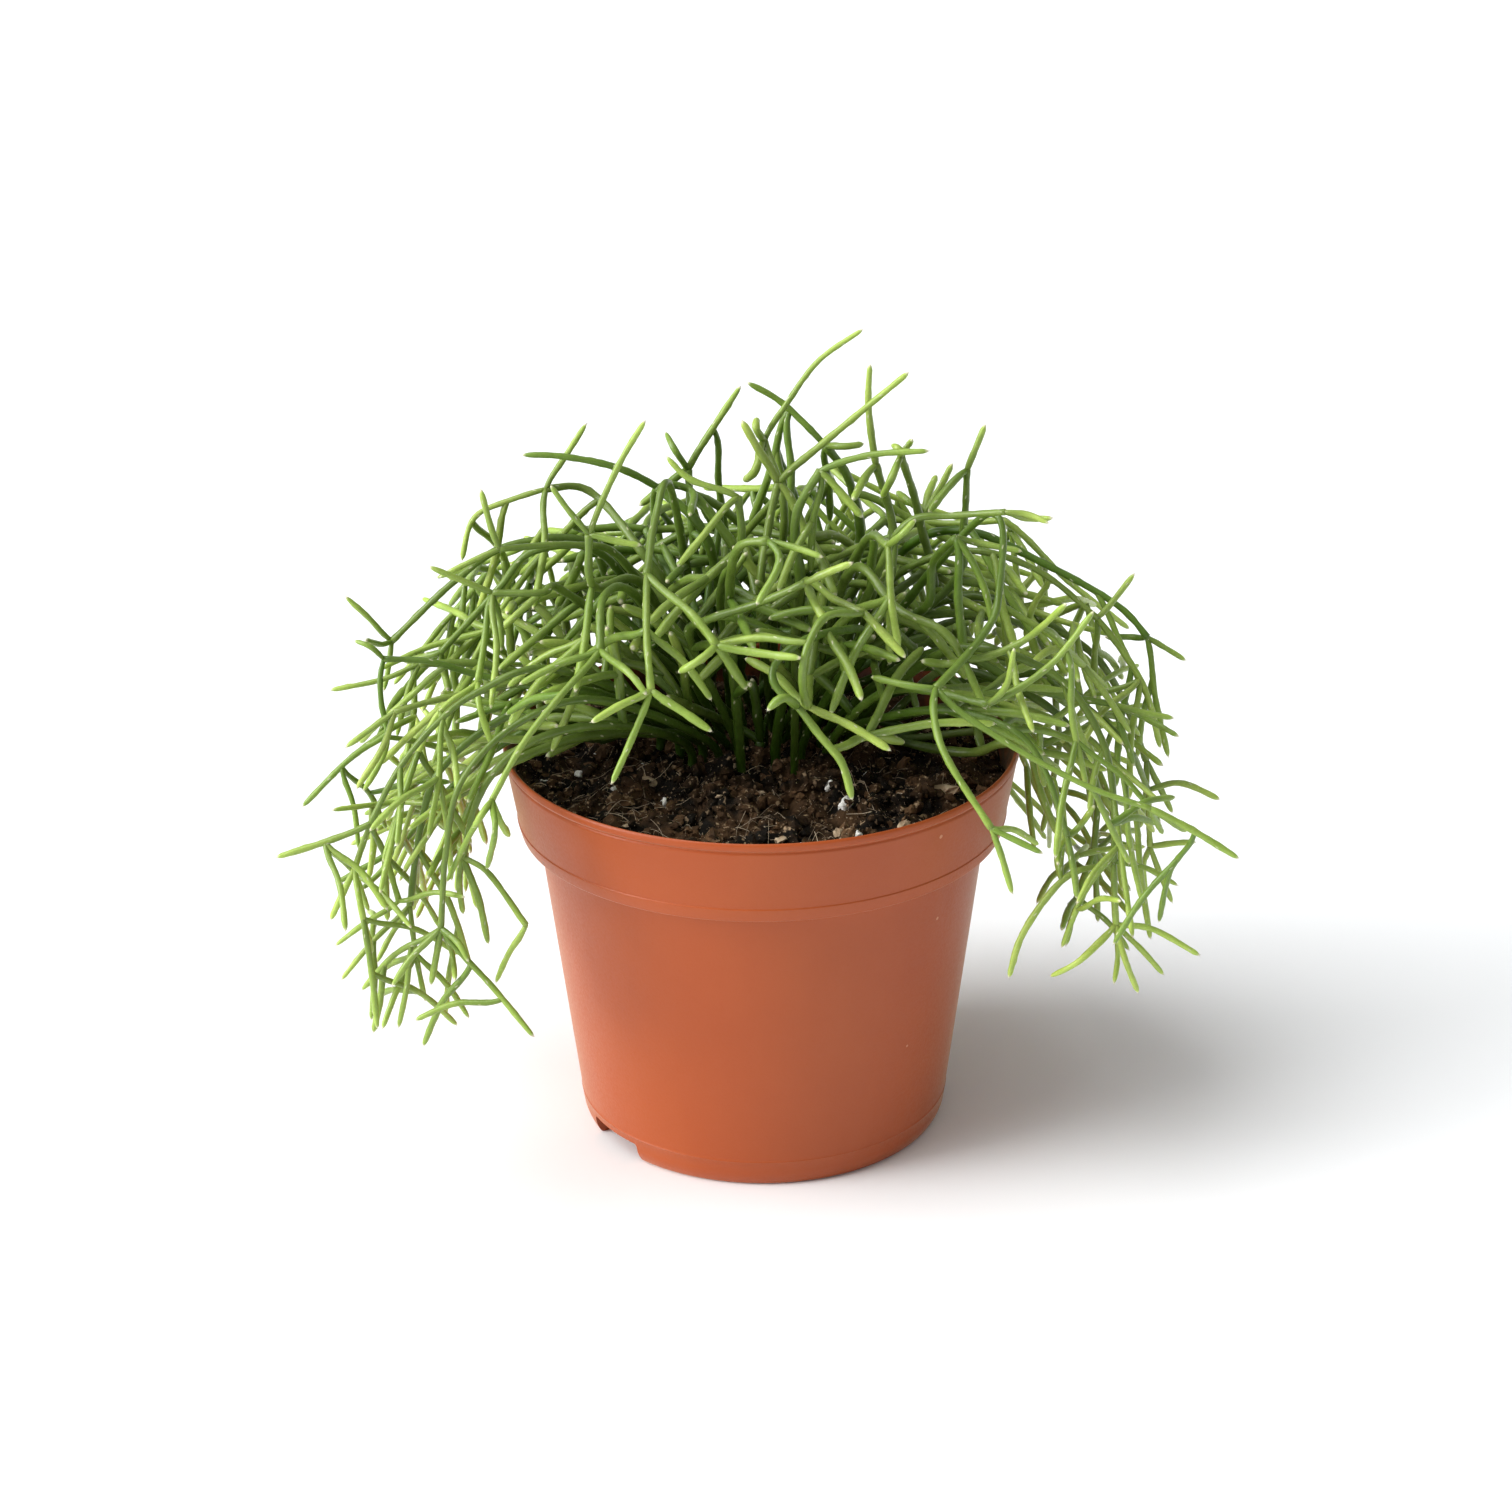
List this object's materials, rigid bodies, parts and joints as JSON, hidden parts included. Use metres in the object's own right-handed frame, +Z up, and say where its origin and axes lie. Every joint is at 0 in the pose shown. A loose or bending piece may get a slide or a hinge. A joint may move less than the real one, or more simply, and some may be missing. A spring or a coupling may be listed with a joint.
{
  "type": "potted rice cactus",
  "caption": "Rice cactus with slim forked green stems arching over the rim of a tapered terracotta-coloured plastic nursery pot filled with peat.",
  "frame": {"origin": "middle of the pot's underside, on the surface that the pot stands on", "axes": "+Z up along the pot's axis, -Y towards the side that the picture shows, +X to that viewer's right"},
  "size_m": [0.208, 0.1726, 0.1879],
  "materials": {
    "pot_plastic": "satin terracotta-coloured polypropylene",
    "peat": "dark crumbly peat with fibres, bark chips and perlite",
    "stem_green": "smooth waxy yellow-green skin, paler at the tips"
  },
  "bodies": {
    "root": {"pot": "pot_plastic", "soil": "peat", "front_star": "stem_green", "front_left": "stem_green", "front_loop": "stem_green", "front_curl": "stem_green", "front_right": "stem_green", "cross_right": "stem_green", "right_fan": "stem_green", "left_crown": "stem_green", "left_bar": "stem_green", "left_reach": "stem_green", "left_light": "stem_green", "left_mid": "stem_green", "left_tail": "stem_green", "left_fall_a": "stem_green", "left_fall_b": "stem_green", "left_fall_c": "stem_green", "left_fall_d": "stem_green", "left_rim": "stem_green", "top_sail": "stem_green", "top_lance": "stem_green", "top_needle": "stem_green", "top_step": "stem_green", "top_tuft": "stem_green", "top_mast": "stem_green", "top_arc": "stem_green", "mid_bough": "stem_green", "mid_bridge": "stem_green", "mid_post": "stem_green", "mid_right": "stem_green", "mid_drop": "stem_green", "spear": "stem_green", "high_arc": "stem_green", "high_hook": "stem_green", "high_bar": "stem_green", "high_drop": "stem_green", "far_left": "stem_green", "far_cross": "stem_green", "far_pin": "stem_green", "right_arc_a": "stem_green", "right_arc_b": "stem_green", "right_mid": "stem_green", "right_fall_a": "stem_green", "right_fall_b": "stem_green", "right_fall_c": "stem_green", "right_fall_d": "stem_green", "right_edge": "stem_green", "right_back": "stem_green", "back_1": "stem_green", "back_2": "stem_green", "back_3": "stem_green", "back_4": "stem_green", "back_5": "stem_green", "back_6": "stem_green", "low_left": "stem_green", "low_right": "stem_green", "low_fork": "stem_green"}
  },
  "joints": []
}
